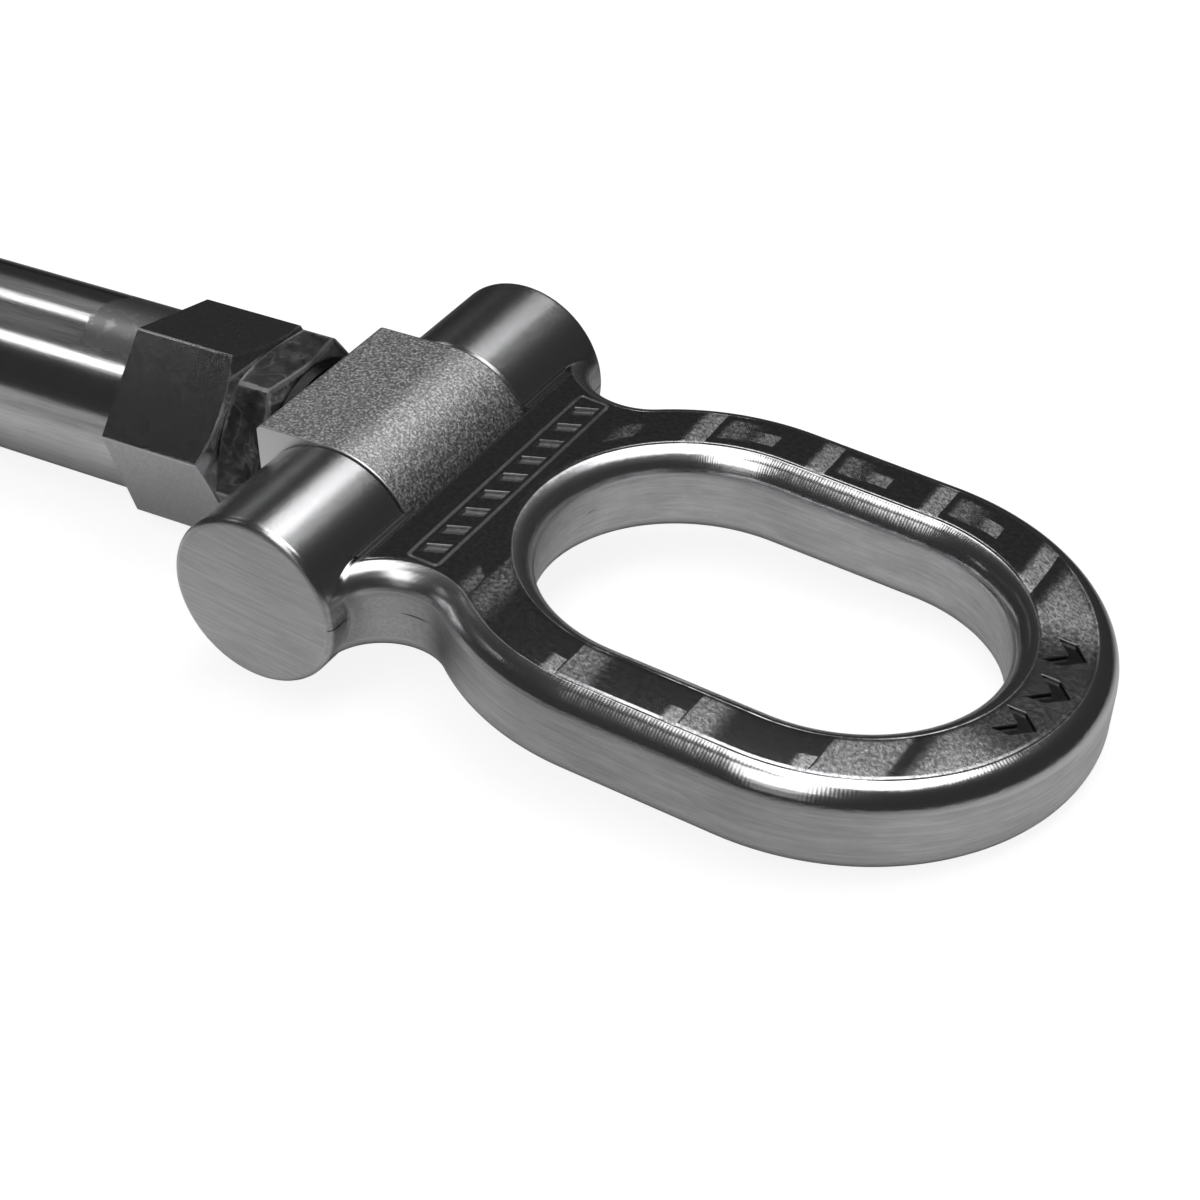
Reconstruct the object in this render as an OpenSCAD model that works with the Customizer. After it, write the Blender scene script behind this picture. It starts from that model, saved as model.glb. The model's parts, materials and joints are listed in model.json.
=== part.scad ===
// Folding tow eye: a shaft with an integral hex, a jam nut, a pivot block and a hinged eye.
// Millimetres, real size. The origin is on the shaft's axis at the shoulder where the
// threaded tail begins. X runs along the shaft to the eye, Y along the hinge, Z up.

/* [Shaft] */
// diameter of the round shaft
shaft_d = 27.7; // [20:0.1:36]
// length of the round shaft, from the tail's shoulder to the hex
shaft_len = 59.5; // [30:0.5:140]
// edge break at the shaft's tail shoulder
shaft_break = 1.0; // [0.2:0.1:2]
// outside diameter of the threaded tail
tail_d = 20; // [14:0.5:24]
// length of the threaded tail
tail_len = 30; // [15:1:60]
// chamfer at the free end of the tail
tail_chamfer = 1.8; // [0.5:0.1:3]
// length of the plain collar between the shoulder and the thread
collar_len = 2.4; // [1:0.1:8]
// distance from one thread to the next
thread_pitch = 2.5; // [1:0.25:4]
// depth of the thread
thread_depth = 1.5; // [0.5:0.1:2]
// width of each thread's crest
crest_w = 0.3; // [0.1:0.05:0.6]

/* [Hex] */
// size of the integral hex across its flats
hex_af = 28.6; // [22:0.1:38]
// length of the integral hex
hex_len = 18.6; // [10:0.1:30]
// clocking of the hex, as the angle of one corner from +Y
hex_turn = 108.2; // [90:0.1:150]
// radius of the flat circle that the end chamfer leaves
hex_face_r = 13.6; // [10:0.1:18]
// slope of the hex's end chamfer, from the end face
hex_slope = 30; // [15:1:45]

/* [Jam nut] */
// size of the jam nut across its flats
nut_af = 28.0; // [20:0.1:36]
// thickness of the jam nut
nut_t = 9.35; // [6:0.05:16]
// clocking of the nut, as the angle of one corner from +Y
nut_turn = 120.8; // [90:0.1:150]
// slope of the nut's chamfers, from the end faces
nut_slope = 25; // [15:1:45]
// radius of the face on the hex's side
nut_face_r = 13.0; // [10:0.1:17]
// radius of the turned seat on the block's side
nut_seat_r = 13.3; // [10:0.1:17]
// height of the turned seat on the block's side
nut_seat_h = 1.35; // [0.3:0.05:3]
// how much the seat narrows towards the block
nut_seat_taper = 0.4; // [0:0.05:1]
// clearance left between the tightened nut's two faces and what they bear on
nut_gap = 0.02; // [0.01:0.01:0.1]

/* [Pivot block] */
// half-round nose radius and half the height of the block
block_r = 12.9; // [9:0.1:18]
// distance from the hinge axis to the back of the block
block_back = 12.55; // [9:0.05:20]
// width of the block along the hinge
block_w = 30.4; // [20:0.1:40]
// edge break round the block's side faces
block_break = 0.4; // [0.1:0.05:1]
// radius of the block's upper and lower back edges
block_corner = 0.9; // [0.3:0.1:3]
// diameter of the stud that runs through the nut into the shaft
stud_d = 19; // [12:0.5:22]
// how far the stud goes into the shaft
stud_in = 21; // [12:0.5:35]
// chamfer at the free end of the stud
stud_chamfer = 1.2; // [0.4:0.1:2.5]
// radial clearance that stands for the thread flanks round the stud
stud_gap = 0.2; // [0.1:0.01:0.6]
// depth of the shaft's bore beyond the end of the stud
bore_spare = 4; // [1:0.5:8]

/* [Eye bosses] */
// radius of the eye's two bosses
boss_r = 12.9; // [9:0.1:18]
// overall width across both bosses
boss_span = 71.8; // [50:0.2:100]
// rounding of the bosses' outer rims
boss_break = 1.2; // [0.3:0.1:3]
// gap between each side of the block and the boss beside it
side_gap = 0.3; // [0.1:0.05:1]
// gap between the block's nose and the bottom of the slot
nose_gap = 1.0; // [0.4:0.1:3]

/* [Eye loop] */
// thickness of the eye's plate
plate_t = 14; // [8:0.2:20]
// inner radius of the loop's round ends
hole_r = 22.1; // [15:0.1:35]
// width of the loop's limb
limb_w = 14.2; // [8:0.1:22]
// distance from the hinge to the middle of the loop
loop_x = 59.6; // [45:0.1:90]
// half the length of the loop's straight limbs
loop_half = 11.3; // [2:0.1:30]
// rounding of the plate's edges
edge_r = 4; // [1:0.1:6]
// angle that the eye hangs down from the shaft's line, as photographed
droop = 5.9; // [-80:0.1:80]

/* [Neck] */
// radius of the hollow on each side of the neck
neck_r = 8.2; // [4:0.1:14]
// how far the hollow bites into the boss
neck_bite = 0.5; // [0.1:0.1:2]
// fillet between the bosses and the flat of the plate
neck_fillet = 1.5; // [0.5:0.1:3]

/* [Engraving] */
// depth of the engraved ornament
cut_depth = 0.5; // [0.2:0.1:1.2]
// distance from the hinge to the middle of the ornament band
band_x = 18.6; // [15:0.1:24]
// length of the ornament band along the hinge
band_len = 46; // [20:1:52]
// width of the ornament band
band_w = 5.2; // [3:0.1:8]
// width of the engraved outline
line_w = 0.55; // [0.3:0.05:1]
// number of slanted bars in the band
bar_count = 9; // [3:1:15]
// spacing of the chevrons on the loop's tip
chevron_step = 8.2; // [5:0.1:12]
// size of each chevron
chevron_w = 5.4; // [3:0.1:8]
// width of each slanted bar, along the band
bar_w = 2.2; // [1:0.1:4]
// slant of each bar, along the band
bar_slant = 1.6; // [0:0.1:3]
// space between the bars and the outline
bar_margin = 0.5; // [0.2:0.1:1.5]

/* [Hinge pin] */
// diameter of the hinge pin
pin_d = 12.7; // [8:0.1:16]
// radial running clearance between the pin and the block
pin_gap = 0.05; // [0.02:0.01:0.1]
// thickness of the closed end of the near boss
blind_wall = 6; // [3:0.5:12]
// how far the pin's end sits below the far boss's face
pin_sink = 0.6; // [0.1:0.1:2]
// chamfer at both ends of the pin
pin_chamfer = 0.8; // [0.3:0.1:2]
// space between the pin's inner end and the closed end of its hole
pin_play = 0.5; // [0.1:0.1:2]
// chamfer at the mouth of the pin's hole
mouth_chamfer = 0.5; // [0.2:0.1:1.5]

/* [Hidden] */
$fn = 72;
big = 100;
hex_r = hex_af / 2 / cos(30);
nut_r = nut_af / 2 / cos(30);
nut_out = nut_r * 1.1;
hex_end = shaft_len + hex_len;
hinge_x = hex_end + nut_t + block_back;
nut_h = nut_t - 2 * nut_gap;
half_span = boss_span / 2;
flank_w = thread_depth * tan(30);
thread_count = floor((tail_len - tail_chamfer - collar_len) / thread_pitch);
slot_half = block_w / 2 + side_gap;
slot_r = boss_r + nose_gap;
half_t = plate_t / 2;
limb_mid = hole_r + limb_w / 2;
loop_r = hole_r + limb_w;
loop_end = loop_x - loop_half;
neck_x = boss_r - neck_bite + neck_r;
neck_y = sqrt(pow(loop_r + neck_r, 2) - pow(loop_end - neck_x, 2));
fillet_x = sqrt(pow(boss_r + neck_fillet, 2) - pow(half_t + neck_fillet, 2));
pin_r = pin_d / 2;
pin_from = -half_span + blind_wall;

// Turns a solid drawn along +Z so that it runs along +X.
module along_x(x = 0) {
    translate([x, 0, 0])
        rotate([0, 90, 0])
            children();
}

// Turns a solid drawn along +Z so that it runs along +Y.
module along_y(y = 0) {
    translate([0, y, 0])
        rotate([-90, 0, 0])
            children();
}

// A hexagon in the plane across the shaft, with one corner at the given angle from +Y.
module hexagon(r, turn) {
    polygon([for (k = [0:5]) [-r * sin(turn + 60 * k), r * cos(turn + 60 * k)]]);
}

module shaft() {
    color([0.78, 0.78, 0.79])
        difference() {
            union() {
                along_x()
                    rotate_extrude()
                        polygon([[0, 0], [shaft_d / 2 - shaft_break, 0], [shaft_d / 2, shaft_break],
                                 [shaft_d / 2, shaft_len + hex_len / 2], [0, shaft_len + hex_len / 2]]);
                tail();
                hex_end_piece();
            }
            along_x(hex_end - stud_in - bore_spare)
                cylinder(r = stud_d / 2 + stud_gap, h = stud_in + bore_spare + 1);
        }
}

// The tail, with its thread turned as rings.
module tail() {
    r = tail_d / 2;
    groove_w = thread_pitch - crest_w;
    along_x()
        rotate_extrude()
            polygon(concat([[0, 1], [r, 1]],
                           [for (k = [0:thread_count - 1])
                                for (p = [[r, 0], [r - thread_depth, flank_w],
                                          [r - thread_depth, groove_w - flank_w], [r, groove_w]])
                                    [p[0], -collar_len - k * thread_pitch - p[1]]],
                           [[r, tail_chamfer - tail_len], [r - tail_chamfer, -tail_len], [0, -tail_len]]));
}

// The integral hex: square corners at the shoulder and a chamfered end against the nut.
module hex_end_piece() {
    along_x(shaft_len)
        intersection() {
            linear_extrude(hex_len)
                hexagon(hex_r, hex_turn);
            rotate_extrude()
                polygon([[0, -1], [hex_r + 1, -1],
                         [hex_r + 1, hex_len - (hex_r + 1 - hex_face_r) * tan(hex_slope)],
                         [hex_face_r, hex_len], [0, hex_len]]);
        }
}

module jam_nut() {
    color([0.16, 0.16, 0.17])
        along_x(hex_end + nut_gap)
            difference() {
                intersection() {
                    linear_extrude(nut_h)
                        hexagon(nut_r, nut_turn);
                    rotate_extrude()
                        polygon([[0, 0], [nut_face_r, 0],
                                 [nut_out, (nut_out - nut_face_r) * tan(nut_slope)],
                                 [nut_out, nut_h - nut_seat_h - (nut_out - nut_seat_r) * tan(nut_slope)],
                                 [nut_seat_r, nut_h - nut_seat_h], [nut_seat_r - nut_seat_taper, nut_h],
                                 [0, nut_h]]);
                }
                translate([0, 0, -nut_h])
                    cylinder(r = stud_d / 2 + stud_gap, h = 3 * nut_h);
            }
}

// The half-round nose about the hinge, with its rims broken.
module block_nose() {
    along_y(-block_w / 2)
        rotate([0, 0, -90])
            rotate_extrude(angle = 180)
                polygon([[0, 0], [block_r - block_break, 0], [block_r, block_break],
                         [block_r, block_w - block_break], [block_r - block_break, block_w],
                         [0, block_w]]);
}

// The square back of the block, with its side rims broken and its back edges rounded.
module block_rear() {
    h = block_r;
    w = block_w / 2;
    c = block_break;
    intersection() {
        translate([-block_back, 0, 0])
            rotate([90, 0, 90])
                linear_extrude(block_back)
                    polygon([[-w, c - h], [c - w, -h], [w - c, -h], [w, c - h],
                             [w, h - c], [w - c, h], [c - w, h], [-w, h - c]]);
        linear_extrude(big, center = true)
            polygon([[1, -w - 1], [1, w + 1], [c - block_back, w + 1], [c - block_back, w],
                     [-block_back, w - c], [-block_back, c - w],
                     [c - block_back, -w], [c - block_back, -w - 1]]);
        rotate([90, 0, 0])
            linear_extrude(big, center = true)
                union() {
                    translate([-block_back, block_corner - h])
                        square([block_back + 1, 2 * (h - block_corner)]);
                    translate([block_corner - block_back, -h])
                        square([block_back - block_corner + 1, 2 * h]);
                    for (s = [-1, 1])
                        translate([block_corner - block_back, s * (h - block_corner)])
                            circle(block_corner, $fn = 32);
                }
    }
}

module pivot_block() {
    color([0.55, 0.55, 0.56])
        translate([hinge_x, 0, 0])
            difference() {
                union() {
                    block_nose();
                    block_rear();
                    along_x(-block_back - nut_t - stud_in)
                        rotate_extrude()
                            polygon([[0, 0], [stud_d / 2 - stud_chamfer, 0], [stud_d / 2, stud_chamfer],
                                     [stud_d / 2, nut_t + stud_in + 1], [0, nut_t + stud_in + 1]]);
                }
                along_y(-block_w)
                    cylinder(r = pin_r + pin_gap, h = 2 * block_w);
            }
}

// The limb's section: a flat-topped bar with four rounded edges.
module limb_section() {
    square([limb_w - 2 * edge_r, plate_t], center = true);
    square([limb_w, plate_t - 2 * edge_r], center = true);
    for (a = [-1, 1])
        for (b = [-1, 1])
            translate([a * (limb_w / 2 - edge_r), b * (half_t - edge_r)])
                circle(edge_r, $fn = 32);
}

// One round end of the loop.
module loop_end_ring(x, turn) {
    translate([x, 0, 0])
        rotate([0, 0, turn])
            rotate_extrude(angle = 180)
                translate([limb_mid, 0])
                    limb_section();
}

module loop() {
    loop_end_ring(loop_x + loop_half, -90);
    loop_end_ring(loop_x - loop_half, 90);
    for (s = [-1, 1])
        translate([loop_x - loop_half, s * limb_mid, 0])
            rotate([90, 0, 90])
                linear_extrude(2 * loop_half)
                    limb_section();
}

// The cutter for the neck's hollow, flared above and below so that it leaves rounded edges.
module neck_cutter() {
    rotate_extrude() {
        translate([0, -plate_t])
            square([neck_r, 2 * plate_t]);
        for (s = [-1, 1])
            difference() {
                translate([0, s > 0 ? half_t - edge_r : -plate_t])
                    square([neck_r + edge_r, half_t + edge_r]);
                translate([neck_r + edge_r, s * (half_t - edge_r)])
                    circle(edge_r, $fn = 32);
            }
    }
}

// The neck's flat web between the bosses and the loop, with its fillets along the bosses.
module neck() {
    difference() {
        union() {
            linear_extrude(plate_t, center = true)
                polygon([[0, -neck_y], [neck_x, -neck_y], [loop_end, 0], [neck_x, neck_y], [0, neck_y]]);
            for (s = [-1, 1])
                rotate([90, 0, 0])
                    linear_extrude(2 * neck_y, center = true)
                        difference() {
                            polygon([[0, 0], [fillet_x, s * (half_t + neck_fillet)], [fillet_x, 0]]);
                            translate([fillet_x, s * (half_t + neck_fillet)])
                                circle(neck_fillet, $fn = 32);
                        }
        }
        translate([loop_end, 0, 0])
            cylinder(r = limb_mid, h = plate_t + 2, center = true);
        for (s = [-1, 1])
            translate([neck_x, s * neck_y, 0])
                neck_cutter();
    }
}

// Both bosses as one bar, with rounded outer rims.
module boss_bar() {
    along_y(-half_span)
        rotate_extrude() {
            translate([0, boss_break])
                square([boss_r, boss_span - 2 * boss_break]);
            square([boss_r - boss_break, boss_span]);
            for (y = [boss_break, boss_span - boss_break])
                translate([boss_r - boss_break, y])
                    circle(boss_break, $fn = 32);
        }
}

// A plain ornament: an outlined band of slanted bars, and three chevrons on the loop's tip.
module engraving() {
    pitch = (band_len - 4 * line_w) / bar_count;
    half_bar = band_w / 2 - line_w - bar_margin;
    translate([0, 0, half_t - cut_depth])
        linear_extrude(cut_depth + 1) {
            difference() {
                translate([band_x - band_w / 2, -band_len / 2])
                    square([band_w, band_len]);
                translate([band_x - band_w / 2 + line_w, line_w - band_len / 2])
                    square([band_w - 2 * line_w, band_len - 2 * line_w]);
            }
            for (k = [0:bar_count - 1])
                translate([band_x, (k - (bar_count - 1) / 2) * pitch])
                    polygon([[-half_bar, -(bar_w + bar_slant) / 2], [-half_bar, (bar_w - bar_slant) / 2],
                             [half_bar, (bar_w + bar_slant) / 2], [half_bar, (bar_slant - bar_w) / 2]]);
            for (k = [-1:1])
                translate([loop_x + loop_half + sqrt(pow(limb_mid, 2) - pow(k * chevron_step, 2)),
                           k * chevron_step])
                    polygon([[-chevron_w / 2, -chevron_w / 2], [0, -chevron_w / 2], [chevron_w / 2, 0],
                             [0, chevron_w / 2], [-chevron_w / 2, chevron_w / 2], [0, 0]]);
        }
}

module eye() {
    color([0.7, 0.7, 0.71])
        translate([hinge_x, 0, 0])
            rotate([0, droop, 0])
                difference() {
                    union() {
                        boss_bar();
                        neck();
                        loop();
                    }
                    along_y(-slot_half)
                        cylinder(r = slot_r, h = 2 * slot_half);
                    along_y(pin_from)
                        cylinder(r = pin_r, h = boss_span);
                    along_y(half_span - mouth_chamfer)
                        cylinder(r1 = pin_r, r2 = pin_r + 2 * mouth_chamfer, h = 2 * mouth_chamfer);
                    engraving();
                }
}

module hinge_pin() {
    pin_len = half_span - pin_sink - pin_from - pin_play;
    color([0.6, 0.6, 0.62])
        translate([hinge_x, 0, 0])
            along_y(pin_from + pin_play)
                rotate_extrude()
                    polygon([[0, 0], [pin_r - pin_chamfer, 0], [pin_r, pin_chamfer],
                             [pin_r, pin_len - pin_chamfer], [pin_r - pin_chamfer, pin_len], [0, pin_len]]);
}

shaft();
jam_nut();
pivot_block();
eye();
hinge_pin();
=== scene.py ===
import json
import math
from collections import namedtuple
from types import SimpleNamespace

import bmesh
import bpy
from bpy.props import FloatProperty, FloatVectorProperty, IntProperty, PointerProperty
from mathutils import Matrix, Vector


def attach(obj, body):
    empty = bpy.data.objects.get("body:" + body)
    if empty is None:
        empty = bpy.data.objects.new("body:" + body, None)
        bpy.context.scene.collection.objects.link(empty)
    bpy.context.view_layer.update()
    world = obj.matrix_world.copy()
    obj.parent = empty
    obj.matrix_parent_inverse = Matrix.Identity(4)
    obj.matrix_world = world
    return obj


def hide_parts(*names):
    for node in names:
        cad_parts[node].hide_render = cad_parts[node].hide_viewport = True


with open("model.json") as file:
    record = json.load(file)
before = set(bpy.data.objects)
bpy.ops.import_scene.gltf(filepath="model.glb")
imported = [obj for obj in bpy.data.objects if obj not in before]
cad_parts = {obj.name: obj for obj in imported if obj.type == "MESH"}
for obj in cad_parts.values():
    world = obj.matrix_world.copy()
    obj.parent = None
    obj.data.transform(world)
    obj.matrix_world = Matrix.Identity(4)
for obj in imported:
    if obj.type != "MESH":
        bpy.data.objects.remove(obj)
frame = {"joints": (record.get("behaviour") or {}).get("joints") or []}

bl_info = {
    "name": "Folding Tow Eye",
    "version": (1, 0, 0),
    "blender": (4, 5, 0),
    "location": "3D View > Sidebar > Tow Eye",
    "description": "Models a folding tow eye with its machined finishes, and the stage it lies on",
    "category": "Add Mesh",
}

HINGE = frame["joints"][0]["pos_m"][0]
MM = 0.001

# The photo's camera, as its place and its right, up and backward directions
CAMERA_SPOT = (0.303669, -0.277538, 0.221856)
CAMERA_RIGHT = (0.8627822944, 0.5045815976, -0.0316879113)
CAMERA_UP = (-0.2716744539, 0.5155691922, 0.8126385415)
CAMERA_BACK = (0.4263797645, -0.6925213494, 0.5819059005)
CAMERA_LENS = 85.888

# The floor touches the hex's underside and falls a little towards the loop's tip
FLOOR_AT_HEX = -0.01570
FLOOR_FALL = 0.0131

# Each lamp's place as angles in degrees and a distance from a point on the shaft's line, its size in
# metres, how bright it looks, and the angle of its light
LAMP_FIELDS = "name shape aim_x azimuth elevation distance wide tall level spread"
Lamp = namedtuple("Lamp", LAMP_FIELDS, defaults=(180,))
LAMPS = (
    Lamp("Overhead softbox", "ELLIPSE", 0.290, 90, 81, 0.71, 0.58, 0.58, 2.0),
    Lamp("Side softbox", "RECTANGLE", 0.150, 100, 57, 0.90, 0.34, 0.24, 2.4),
    Lamp("Front softbox", "RECTANGLE", 0.150, -81, 57, 1.00, 0.45, 0.64, 2.0),
    Lamp("Front skirt", "RECTANGLE", 0.150, -82, 32, 1.00, 0.38, 0.17, 0.7),
    Lamp("Front fade", "RECTANGLE", 0.150, -82, 18, 1.00, 0.38, 0.22, 0.25),
    Lamp("Far strip", "RECTANGLE", 0.045, 151, 47.3, 0.31, 0.052, 0.080, 0.80, 28),
    Lamp("Near strip", "RECTANGLE", 0.045, -144.4, 44.5, 0.31, 0.044, 0.080, 1.25, 28),
    Lamp("Far glow", "RECTANGLE", 0.045, 133, 36, 0.31, 0.10, 0.080, 0.09, 40),
    Lamp("Tail fill", "RECTANGLE", 0.030, 183, 54, 0.30, 0.16, 0.05, 0.06, 40),
)


# Settings

def length(name, text, mm):
    return FloatProperty(name=name, description=text, default=mm * MM, unit="LENGTH", precision=5)


def angle(name, text, degrees):
    return FloatProperty(name=name, description=text, default=math.radians(degrees), unit="ROTATION")


def amount(name, text, value):
    return FloatProperty(name=name, description=text, default=value, min=0.0, soft_max=1.0)


def colour(name, text, value):
    return FloatVectorProperty(name=name, description=text, default=value, size=3, subtype="COLOR",
                               min=0.0, max=1.0)


class ShankSizes(bpy.types.PropertyGroup):
    """Sizes of the shaft, the jam nut and the pivot block."""
    shaft_r: length("Shaft radius", "Radius of the round shaft", 13.85)
    shaft_len: length("Shaft length", "From the tail's shoulder to the hex", 59.5)
    shaft_break: length("Shoulder break", "Edge break at the tail's shoulder", 1.0)
    tail_r: length("Tail radius", "Outside radius of the threaded tail", 10.0)
    tail_len: length("Tail length", "Length of the threaded tail", 30.0)
    tail_chamfer: length("Tail chamfer", "Chamfer at the tail's free end", 1.8)
    collar_len: length("Collar", "Plain length between the shoulder and the thread", 2.4)
    thread_pitch: length("Thread pitch", "Distance from one thread to the next", 2.5)
    thread_depth: length("Thread depth", "Depth of the thread", 1.5)
    crest_w: length("Thread crest", "Width of each thread's crest", 0.3)
    hex_af: length("Hex size", "Integral hex across its flats", 28.6)
    hex_len: length("Hex length", "Length of the integral hex", 18.6)
    hex_turn: angle("Hex clocking", "Angle of one corner of the hex from +Y", 108.2)
    hex_face_r: length("Hex face radius", "Flat circle left by the hex's end chamfer", 13.6)
    hex_slope: angle("Hex chamfer slope", "Slope of the end chamfer from the end face", 30)
    hex_edge: length("Hex edge", "Rounding along the hex's edges", 0.22)
    nut_af: length("Nut size", "Jam nut across its flats", 28.0)
    nut_t: length("Nut thickness", "Thickness of the jam nut", 9.35)
    nut_turn: angle("Nut clocking", "Angle of one corner of the nut from +Y", 120.8)
    nut_slope: angle("Nut chamfer slope", "Slope of the nut's chamfers", 25)
    nut_face_r: length("Nut face radius", "Flat circle on the hex's side", 13.0)
    nut_seat_r: length("Nut seat radius", "Turned seat on the block's side", 13.3)
    nut_seat_h: length("Nut seat height", "Height of the turned seat", 1.35)
    nut_seat_taper: length("Nut seat taper", "How much the seat narrows to the block", 0.4)
    nut_edge: length("Nut edge", "Worn rounding along the nut's corners", 0.45)
    nut_gap: length("Nut clearance", "Clearance at the nut's two faces", 0.02)
    block_r: length("Block radius", "Nose radius and half the block's height", 12.9)
    block_back: length("Block back", "From the hinge to the block's back", 12.55)
    block_w: length("Block width", "Width of the block along the hinge", 30.4)
    block_break: length("Block edge", "Rounding of the block's side rims", 0.4)
    block_corner: length("Block corner", "Radius of the back's upper and lower edges", 0.9)
    stud_r: length("Stud radius", "Stud that runs through the nut", 9.5)
    stud_in: length("Stud depth", "How far the stud goes into the shaft", 21.0)
    stud_gap: length("Stud clearance", "Radial clearance round the stud", 0.2)
    bore_spare: length("Bore spare", "Depth of the bore past the stud", 4.0)


class EyeSizes(bpy.types.PropertyGroup):
    """Sizes of the hinged eye and its pin."""
    boss_r: length("Boss radius", "Radius of the two bosses", 12.9)
    boss_span: length("Boss span", "Overall width across both bosses", 71.8)
    boss_break: length("Boss rim", "Rounding of the bosses' outer rims", 1.2)
    slot_half: length("Slot half width", "From the middle to the boss's inner face", 15.5)
    slot_r: length("Slot radius", "Radius of the slot's bottom", 13.9)
    slot_edge: length("Slot edge", "Edge break on the bosses' inner rims", 0.3)
    plate_t: length("Plate thickness", "Thickness of the eye's plate", 14.0)
    hole_r: length("Hole radius", "Inner radius of the loop's round ends", 22.1)
    limb_w: length("Limb width", "Width of the loop's limb", 14.2)
    loop_x: length("Loop middle", "From the hinge to the loop's middle", 59.6)
    loop_half: length("Limb half length", "Half the length of the straight limbs", 11.3)
    edge_r: length("Edge radius", "Rounding of the plate's edges", 4.0)
    droop: angle("Droop", "How far the eye hangs below the shaft's line", 5.9)
    neck_r: length("Neck hollow", "Radius of the hollow beside the neck", 8.2)
    neck_bite: length("Neck bite", "How far the hollow bites into the boss", 0.5)
    neck_fillet: length("Neck fillet", "Fillet between the bosses and the plate", 1.5)
    cut_depth: length("Engraving depth", "Depth of the engraved ornament", 0.5)
    band_x: length("Band place", "From the hinge to the band's middle", 18.6)
    band_len: length("Band length", "Length of the ornament band", 46.0)
    band_w: length("Band width", "Width of the ornament band", 5.2)
    line_w: length("Outline width", "Width of the engraved outline", 0.55)
    bar_w: length("Bar width", "Width of each slanted bar", 2.2)
    bar_slant: length("Bar slant", "Slant of each bar along the band", 1.6)
    bar_margin: length("Bar margin", "Space between the bars and the outline", 0.5)
    bar_count: IntProperty(name="Bars", description="Number of slanted bars", default=9, min=1)
    chevron_step: length("Chevron spacing", "Spacing of the chevrons on the tip", 8.2)
    chevron_w: length("Chevron size", "Size of each chevron", 5.4)
    pin_r: length("Pin radius", "Radius of the hinge pin", 6.35)
    pin_gap: length("Pin clearance", "Radial clearance of the pin in the block", 0.05)
    blind_wall: length("Closed end", "Thickness of the near boss's closed end", 6.0)
    pin_sink: length("Pin sink", "How far the pin's end sits below the far face", 0.6)
    pin_chamfer: length("Pin chamfer", "Chamfer at the pin's ends", 0.8)
    pin_play: length("Pin play", "Space between the pin and its hole's end", 0.5)
    mouth: length("Hole mouth", "Chamfer at the mouth of the pin's hole", 0.5)


class Finishes(bpy.types.PropertyGroup):
    """Colours and gloss of the metals, and of the stage."""
    polished: colour("Polished steel", "Colour of the shaft", (0.70, 0.70, 0.71))
    polish: amount("Shaft roughness", "Roughness of the polished shaft", 0.13)
    oxide: colour("Black oxide", "Colour of the nut's coating", (0.16, 0.16, 0.165))
    # Brighter than bare steel, so that the nut's worn edges also paint an edge highlight
    bare_and_glint: colour("Worn steel", "Colour of steel bared by wear", (0.86, 0.85, 0.84))
    blasted: colour("Blasted steel", "Colour of the pivot block", (0.70, 0.70, 0.705))
    milled: colour("Milled steel", "Colour of the eye", (0.66, 0.66, 0.67))
    pin: colour("Pin steel", "Colour of the hinge pin", (0.55, 0.55, 0.56))
    floor: colour("Floor", "Colour of the pale floor", (0.86, 0.86, 0.86))


def in_mm(group):
    """The group's values, with its lengths in millimetres."""
    values = SimpleNamespace()
    for prop in group.bl_rna.properties:
        if prop.type in {"FLOAT", "INT"}:
            value = getattr(group, prop.identifier)
            setattr(values, prop.identifier, value / MM if prop.unit == "LENGTH" else value)
    return values


# Mesh tools, all in millimetres until a piece is finished

AXIS = {"X": (1, 0, 0), "Y": (0, 1, 0), "Z": (0, 0, 1)}
ALONG_AND_RADIUS = {"X": lambda a, r: (a, 0, r), "Y": lambda a, r: (0, a, r), "Z": lambda a, r: (r, 0, a)}
ACROSS = {"X": lambda a, b, c: (c, a, b), "Y": lambda a, b, c: (a, c, b), "Z": lambda a, b, c: (a, b, c)}


def arc(u, v, radius, start, end, count):
    """Points on an arc about (u, v), from one angle to another in degrees."""
    turns = [math.radians(start + (end - start) * k / count) for k in range(count + 1)]
    return [(u + radius * math.cos(t), v + radius * math.sin(t)) for t in turns]


def tidy(bm):
    """Merges doubled corners and turns all faces outwards."""
    bmesh.ops.remove_doubles(bm, verts=bm.verts, dist=1e-4)
    bmesh.ops.recalc_face_normals(bm, faces=bm.faces)
    return bm


def lathe(outline, axis, steps=192):
    """A solid turned about an axis from (along, radius) points that start and end on it."""
    bm = bmesh.new()
    verts = [bm.verts.new(ALONG_AND_RADIUS[axis](a, r)) for a, r in outline]
    edges = [bm.edges.new(pair) for pair in zip(verts, verts[1:])]
    bmesh.ops.spin(bm, geom=verts + edges, cent=(0, 0, 0), axis=AXIS[axis], angle=2 * math.pi,
                   steps=steps, use_merge=True)
    return tidy(bm)


def rod(low, high, radius, axis, steps=96):
    """A plain round bar along an axis."""
    return lathe([(low, 0), (low, radius), (high, radius), (high, 0)], axis, steps)


def verts_of(geom):
    return [g for g in geom if isinstance(g, bmesh.types.BMVert)]


def extrude(bm, faces, vec):
    grown = bmesh.ops.extrude_face_region(bm, geom=faces)["geom"]
    bmesh.ops.translate(bm, verts=verts_of(grown), vec=vec)
    return tidy(bm)


def slab(outline, low, high, axis):
    """A flat outline across an axis, made as thick as from low to high."""
    bm = bmesh.new()
    face = bm.faces.new([bm.verts.new(ACROSS[axis](a, b, low)) for a, b in outline])
    return extrude(bm, [face], Vector(AXIS[axis]) * (high - low))


def round_edges(bm, edges, width, segments=3):
    bmesh.ops.bevel(bm, geom=edges, offset=width, offset_type="OFFSET", affect="EDGES",
                    segments=segments, profile=0.5, material=-1, clamp_overlap=True)
    return tidy(bm)


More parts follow.
